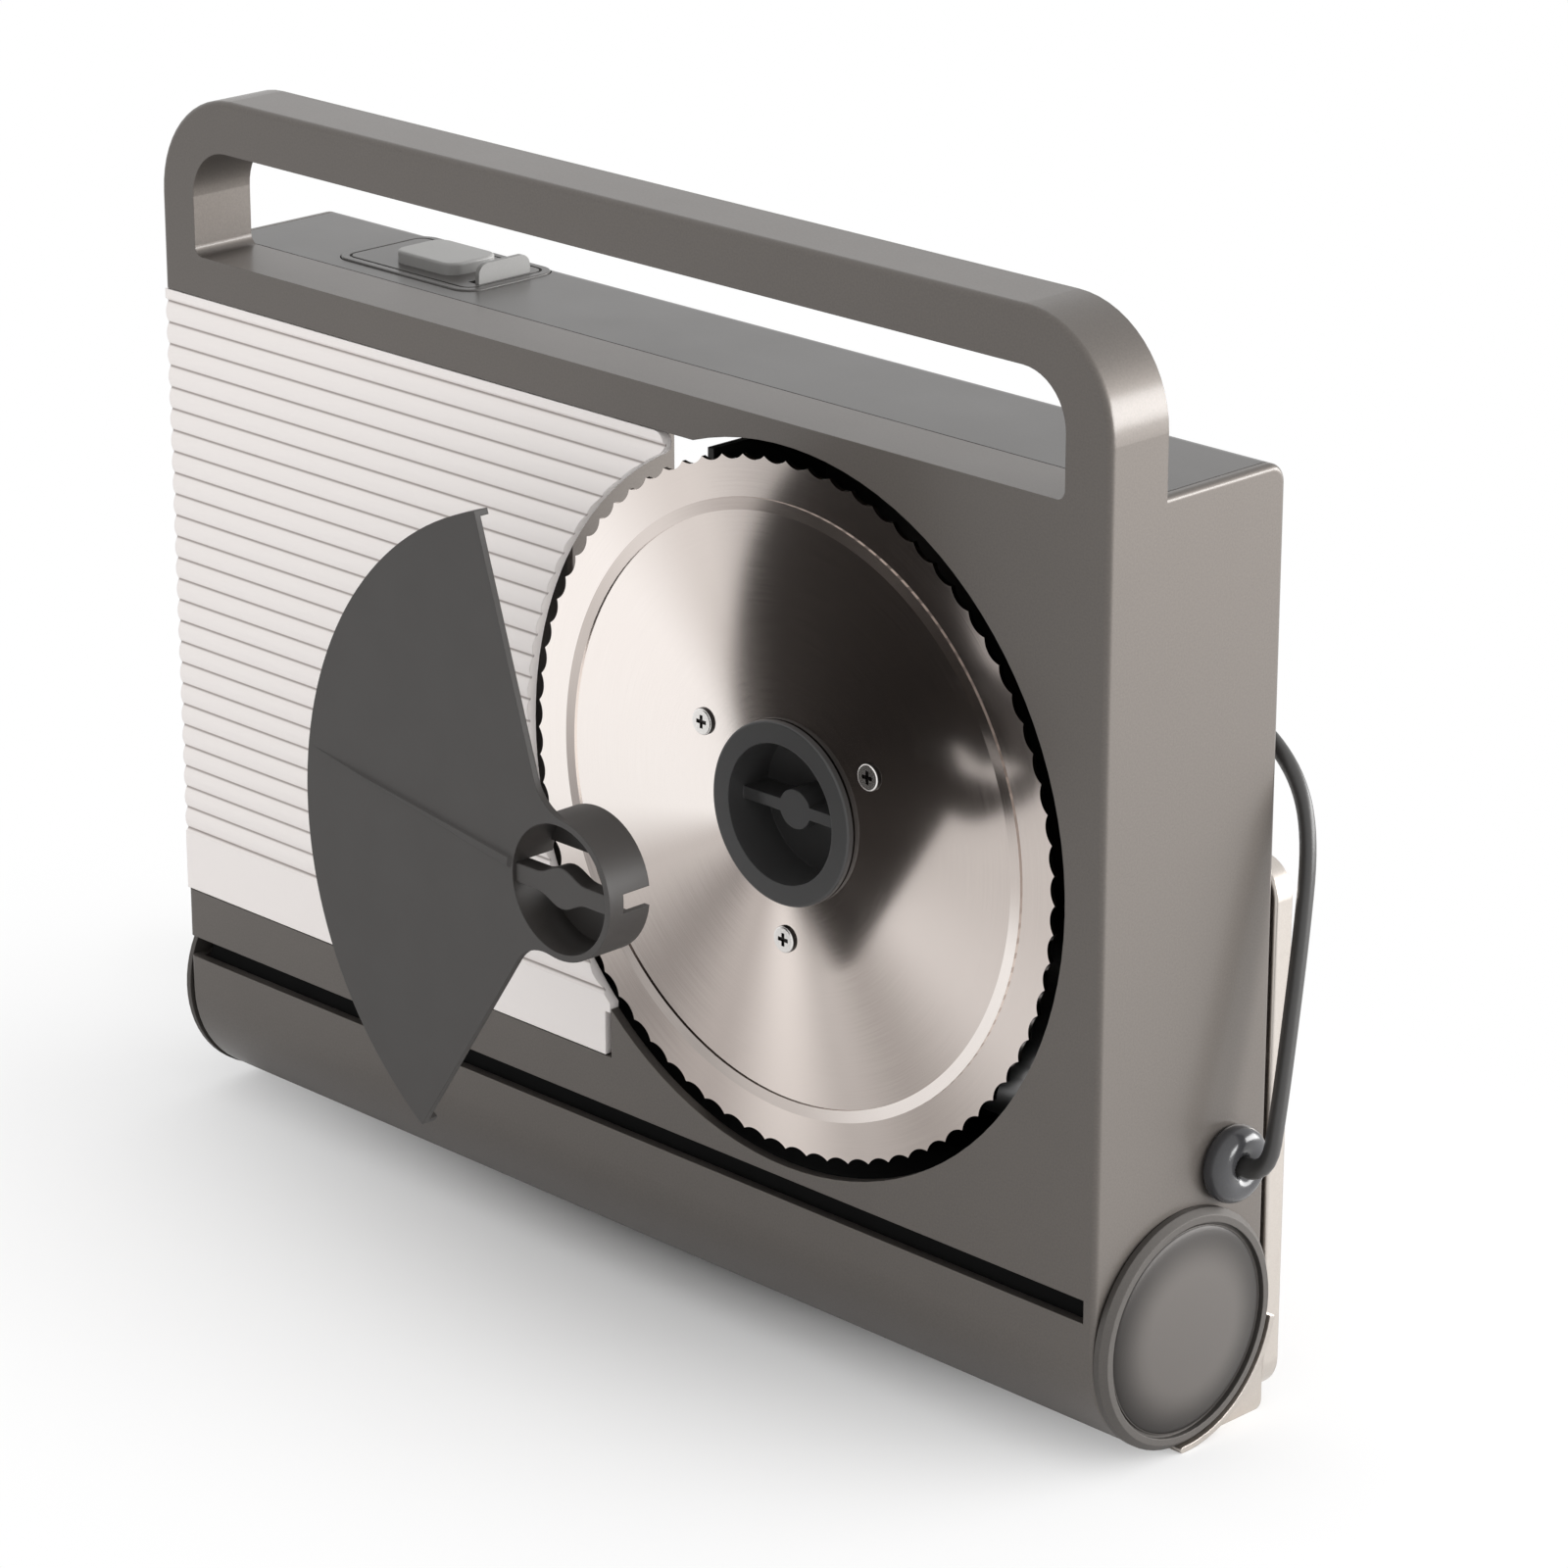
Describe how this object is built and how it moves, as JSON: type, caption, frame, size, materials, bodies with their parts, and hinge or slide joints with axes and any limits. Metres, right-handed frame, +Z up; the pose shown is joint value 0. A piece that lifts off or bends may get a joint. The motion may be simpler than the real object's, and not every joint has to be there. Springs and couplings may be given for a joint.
{
  "type": "folding electric food slicer",
  "caption": "Flat folding food slicer: ribbed stop plate, round scalloped blade with its guard lifted off, carrying arch, hinged base folded behind and a mains cord.",
  "frame": {"origin": "middle of the slicer's box in plan, on the surface that it stands on, without the cord", "axes": "+X to the right along the front, +Y to the back, +Z up"},
  "size_m": [0.4187, 0.2502, 0.2739],
  "materials": {
    "housing": "satin metallic grey-brown paint",
    "top_paint": "semi-gloss grey",
    "steel": "ground steel",
    "dark_plastic": "moulded dark plastic",
    "motor_steel": "zinc-plated steel",
    "iron": "ferrite and laminations",
    "bronze": "sintered bronze",
    "switch_grey": "light grey plastic",
    "gland_rubber": "glossy rubber",
    "cord_sheath": "flexible sheath",
    "black_plastic": "black",
    "disc_paint": "satin",
    "lip_metal": "satin metal",
    "base_steel": "light painted steel",
    "foot_rubber": "rubber",
    "plate_white": "near-white satin",
    "blade_steel": "polished spun steel",
    "gear_nylon": "nylon",
    "lock_plastic": "satin dark grey",
    "guard_plastic": "matte dark brown-grey"
  },
  "bodies": {
    "housing": {"housing": "housing", "top_cover": "top_paint", "rear_cover": "housing", "guide_rods": "steel", "cover_screws": "steel", "cord_hooks": "dark_plastic", "gearbox_frame": "dark_plastic", "axle": "steel", "axle_clip": "steel", "motor_can": "motor_steel", "motor_magnets": "iron", "motor_bushes": "bronze", "motor_screws": "steel", "switch_frame": "switch_grey", "microswitch": "dark_plastic", "switch_spring": "steel", "cord_gland": "gland_rubber", "cord_run": "cord_sheath", "cord_coil": "cord_sheath", "cord_tie": "dark_plastic", "plug": "cord_sheath"},
    "base": {"hinge_drum": "black_plastic", "hinge_discs": "disc_paint", "cradle_lip": "lip_metal", "cradle_core": "black_plastic", "base_plate": "base_steel", "rubber_feet": "foot_rubber"},
    "plate": {"stop_plate": "plate_white", "plate_carrier": "dark_plastic", "spindle_nut": "bronze"},
    "dial": {"thickness_dial": "dark_plastic", "thickness_spindle": "steel"},
    "blade": {"blade": "blade_steel", "blade_gear": "gear_nylon", "gear_bush": "bronze", "blade_screws": "blade_steel"},
    "rotor": {"motor_shaft": "steel", "armature": "iron", "motor_fan": "dark_plastic"},
    "lock": {"blade_lock": "lock_plastic"},
    "guard": {"blade_guard": "guard_plastic"},
    "button": {"switch_button": "switch_grey"},
    "tab": {"lock_tab": "switch_grey"},
    "catch": {"fold_catch": "dark_plastic"}
  },
  "joints": [
    {"name": "base_fold", "type": "hinge", "parent": "housing", "child": "base", "pos_m": [0, 0.029, 0.0309], "axis": [1, 0, 0], "range_deg": [-90, 0]},
    {"name": "plate_slide", "type": "slide", "parent": "housing", "child": "plate", "axis": [0, 1, 0], "range_m": [0, 0.015]},
    {"name": "dial_turn", "type": "hinge", "parent": "housing", "child": "dial", "pos_m": [-0.1165, 0.06, 0.1979], "axis": [0, 1, 0], "range_deg": [0, 270]},
    {"name": "rotor_spin", "type": "hinge", "parent": "housing", "child": "rotor", "pos_m": [0.0785, 0.0305, 0.0939], "axis": [1, 0, 0], "continuous": true},
    {"name": "blade_spin", "type": "hinge", "parent": "housing", "child": "blade", "pos_m": [0.0613, 0.01, 0.1379], "axis": [0, 1, 0], "continuous": true},
    {"name": "lock_turn", "type": "hinge", "parent": "housing", "child": "lock", "pos_m": [0.0613, 0, 0.1379], "axis": [0, 1, 0], "range_deg": [0, 90]},
    {"name": "guard_seat", "type": "slide", "parent": "lock", "child": "guard", "axis": [0, 1, 0], "range_m": [0, 0.0676]},
    {"name": "button_press", "type": "slide", "parent": "housing", "child": "button", "axis": [0, 0, -1], "range_m": [0, 0.0025], "stiffness_N_per_m": 600, "springref_m": -0.0005, "deforming": ["switch_spring"]},
    {"name": "tab_slide", "type": "slide", "parent": "housing", "child": "tab", "axis": [-1, 0, 0], "range_m": [0, 0.0025], "stiffness_N_per_m": 300, "springref_m": -0.0005},
    {"name": "catch_lift", "type": "slide", "parent": "housing", "child": "catch", "axis": [0, 0, 1], "range_m": [0, 0.004], "stiffness_N_per_m": 300, "springref_m": -0.001}
  ],
  "couplings": [
    {"joint": "dial_turn", "follows": "plate_slide", "rad_per_m": 314.16},
    {"joint": "blade_spin", "follows": "rotor_spin", "ratio": 0.025}
  ]
}
